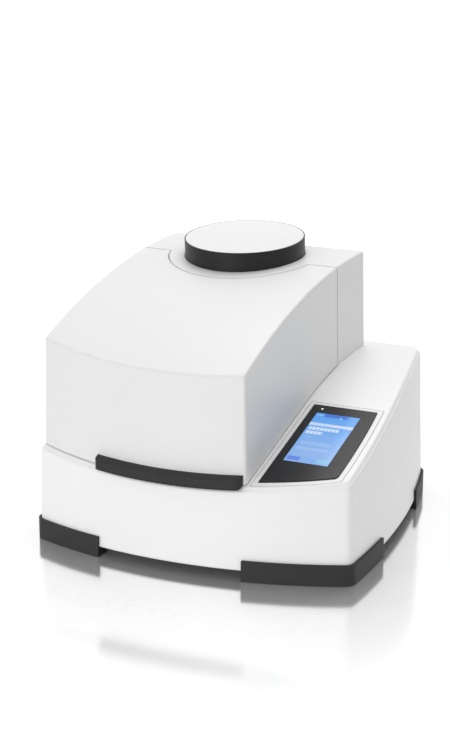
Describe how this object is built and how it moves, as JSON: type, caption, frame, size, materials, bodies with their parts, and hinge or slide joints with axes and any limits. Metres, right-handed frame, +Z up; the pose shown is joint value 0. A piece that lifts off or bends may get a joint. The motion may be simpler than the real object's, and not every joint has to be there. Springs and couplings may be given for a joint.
{
  "type": "high energy ball mill",
  "caption": "Bench ball mill: white ramped housing, lifting hood over grinding jars on circling holders, touch display, round cap and dark feet.",
  "frame": {"origin": "on the bench, in the middle of the plan of the feet", "axes": "+X to the machine's right seen from its front, +Y to the back, +Z up"},
  "size_m": [0.625, 0.645, 0.5192],
  "materials": {
    "shell_white": "satin white moulding",
    "trim_dark": "fine-grained charcoal moulding",
    "band_dark": "satin black",
    "disc_white": "glossy white",
    "bezel_dark": "satin black frame",
    "screen_blue": "lit touch screen",
    "lamp_white": "clear white",
    "panel_steel": "galvanised sheet",
    "tray_steel": "drawn stainless",
    "jar_steel": "turned stainless",
    "frame_iron": "painted grey casting",
    "shaft_steel": "ground steel",
    "holder_alu": "anodised",
    "pulley_alu": "turned",
    "motor_alu": "die cast, painted",
    "rubber_black": "matt",
    "seal_grey": "matt",
    "screw_steel": "zinc plated",
    "tank_plastic": "translucent white",
    "fan_plastic": "black",
    "radiator_alu": "finned block",
    "board_green": "lacquered board",
    "lever_red": "coated lever"
  },
  "bodies": {
    "base": {"base_housing": "shell_white", "bottom_plate": "panel_steel", "foot_front_left": "trim_dark", "foot_front_right": "trim_dark", "foot_rear_left": "trim_dark", "foot_rear_right": "trim_dark", "rear_tower": "shell_white", "cap_ring": "band_dark", "cap_disc": "disc_white", "hinge_brackets": "screw_steel", "latch_housing": "screw_steel", "chamber_tray": "tray_steel", "chamber_seal": "seal_grey", "drive_frame": "frame_iron", "frame_mounts": "rubber_black", "motor_bracket": "panel_steel", "motor_housing": "motor_alu", "frame_bolts": "screw_steel", "drive_belt": "rubber_black", "display_panel": "shell_white", "display_bezel": "bezel_dark", "display_screen": "screen_blue", "status_lamp": "lamp_white", "control_board": "board_green", "power_unit": "motor_alu", "water_tank": "tank_plastic", "coolant_pump": "fan_plastic", "radiator": "radiator_alu", "fan_shroud": "fan_plastic", "rear_vent": "trim_dark", "power_inlet": "trim_dark"},
    "hood": {"hood": "shell_white", "hood_handle": "trim_dark", "hinge_arms": "shaft_steel", "latch_block": "trim_dark"},
    "latch": {"latch_bolt": "shaft_steel"},
    "motor": {"motor_pulley": "pulley_alu"},
    "fan": {"fan_rotor": "fan_plastic"},
    "rocker": {"power_rocker": "band_dark"},
    "crank_left": {"crank_left": "shaft_steel", "pulley_left": "pulley_alu"},
    "idler_left": {"idler_left": "shaft_steel"},
    "holder_left": {"holder_left": "holder_alu"},
    "lever_left": {"clamp_lever_left": "lever_red"},
    "jar_left": {"jar_left": "jar_steel"},
    "lid_left": {"jar_lid_left": "jar_steel"},
    "crank_right": {"crank_right": "shaft_steel", "pulley_right": "pulley_alu"},
    "idler_right": {"idler_right": "shaft_steel"},
    "holder_right": {"holder_right": "holder_alu"},
    "lever_right": {"clamp_lever_right": "lever_red"},
    "jar_right": {"jar_right": "jar_steel"},
    "lid_right": {"jar_lid_right": "jar_steel"}
  },
  "joints": [
    {"name": "hood_hinge", "type": "hinge", "parent": "base", "child": "hood", "pos_m": [-0.0845, 0.1675, 0.46456], "axis": [-1, 0, 0], "range_deg": [0, 70]},
    {"name": "latch_slide", "type": "slide", "parent": "base", "child": "latch", "axis": [0, 0, 1], "range_m": [0, 0.008]},
    {"name": "motor_spin", "type": "hinge", "parent": "base", "child": "motor", "pos_m": [-0.0845, 0.192, 0.09], "axis": [0, 0, 1], "continuous": true},
    {"name": "fan_spin", "type": "hinge", "parent": "base", "child": "fan", "pos_m": [0.062, 0.27, 0.158], "axis": [0, 1, 0], "continuous": true},
    {"name": "rocker_tilt", "type": "hinge", "parent": "base", "child": "rocker", "pos_m": [0.19, 0.309, 0.1075], "axis": [-1, 0, 0], "range_deg": [0, 16]},
    {"name": "crank_left_spin", "type": "hinge", "parent": "base", "child": "crank_left", "pos_m": [-0.1795, -0.075, 0.1], "axis": [0, 0, 1], "continuous": true},
    {"name": "idler_left_spin", "type": "hinge", "parent": "base", "child": "idler_left", "pos_m": [-0.1795, 0.017, 0.1], "axis": [0, 0, 1], "continuous": true},
    {"name": "holder_left_pin", "type": "hinge", "parent": "crank_left", "child": "holder_left", "pos_m": [-0.1955, -0.075, 0.15], "axis": [0, 0, 1], "continuous": true},
    {"name": "clamp_left_swing", "type": "hinge", "parent": "holder_left", "child": "lever_left", "pos_m": [-0.2265, -0.1453, 0.218], "axis": [0, 0, -1], "range_deg": [0, 90]},
    {"name": "jar_left_lift", "type": "slide", "parent": "holder_left", "child": "jar_left", "axis": [0, 0, 1], "range_m": [0, 0.075]},
    {"name": "lid_left_lift", "type": "slide", "parent": "jar_left", "child": "lid_left", "axis": [0, 0, 1], "range_m": [0, 0.025]},
    {"name": "crank_right_spin", "type": "hinge", "parent": "base", "child": "crank_right", "pos_m": [0.0105, -0.075, 0.1], "axis": [0, 0, 1], "continuous": true},
    {"name": "idler_right_spin", "type": "hinge", "parent": "base", "child": "idler_right", "pos_m": [0.0105, 0.017, 0.1], "axis": [0, 0, 1], "continuous": true},
    {"name": "holder_right_pin", "type": "hinge", "parent": "crank_right", "child": "holder_right", "pos_m": [0.0265, -0.075, 0.15], "axis": [0, 0, 1], "continuous": true},
    {"name": "clamp_right_swing", "type": "hinge", "parent": "holder_right", "child": "lever_right", "pos_m": [-0.0045, -0.1453, 0.218], "axis": [0, 0, -1], "range_deg": [0, 90]},
    {"name": "jar_right_lift", "type": "slide", "parent": "holder_right", "child": "jar_right", "axis": [0, 0, 1], "range_m": [0, 0.075]},
    {"name": "lid_right_lift", "type": "slide", "parent": "jar_right", "child": "lid_right", "axis": [0, 0, 1], "range_m": [0, 0.025]}
  ],
  "couplings": [
    {"joint": "crank_right_spin", "follows": "crank_left_spin", "ratio": 1},
    {"joint": "idler_left_spin", "follows": "crank_left_spin", "ratio": 1},
    {"joint": "idler_right_spin", "follows": "crank_left_spin", "ratio": 1},
    {"joint": "holder_left_pin", "follows": "crank_left_spin", "ratio": -1},
    {"joint": "holder_right_pin", "follows": "crank_left_spin", "ratio": -1},
    {"joint": "motor_spin", "follows": "crank_left_spin", "ratio": 2}
  ]
}
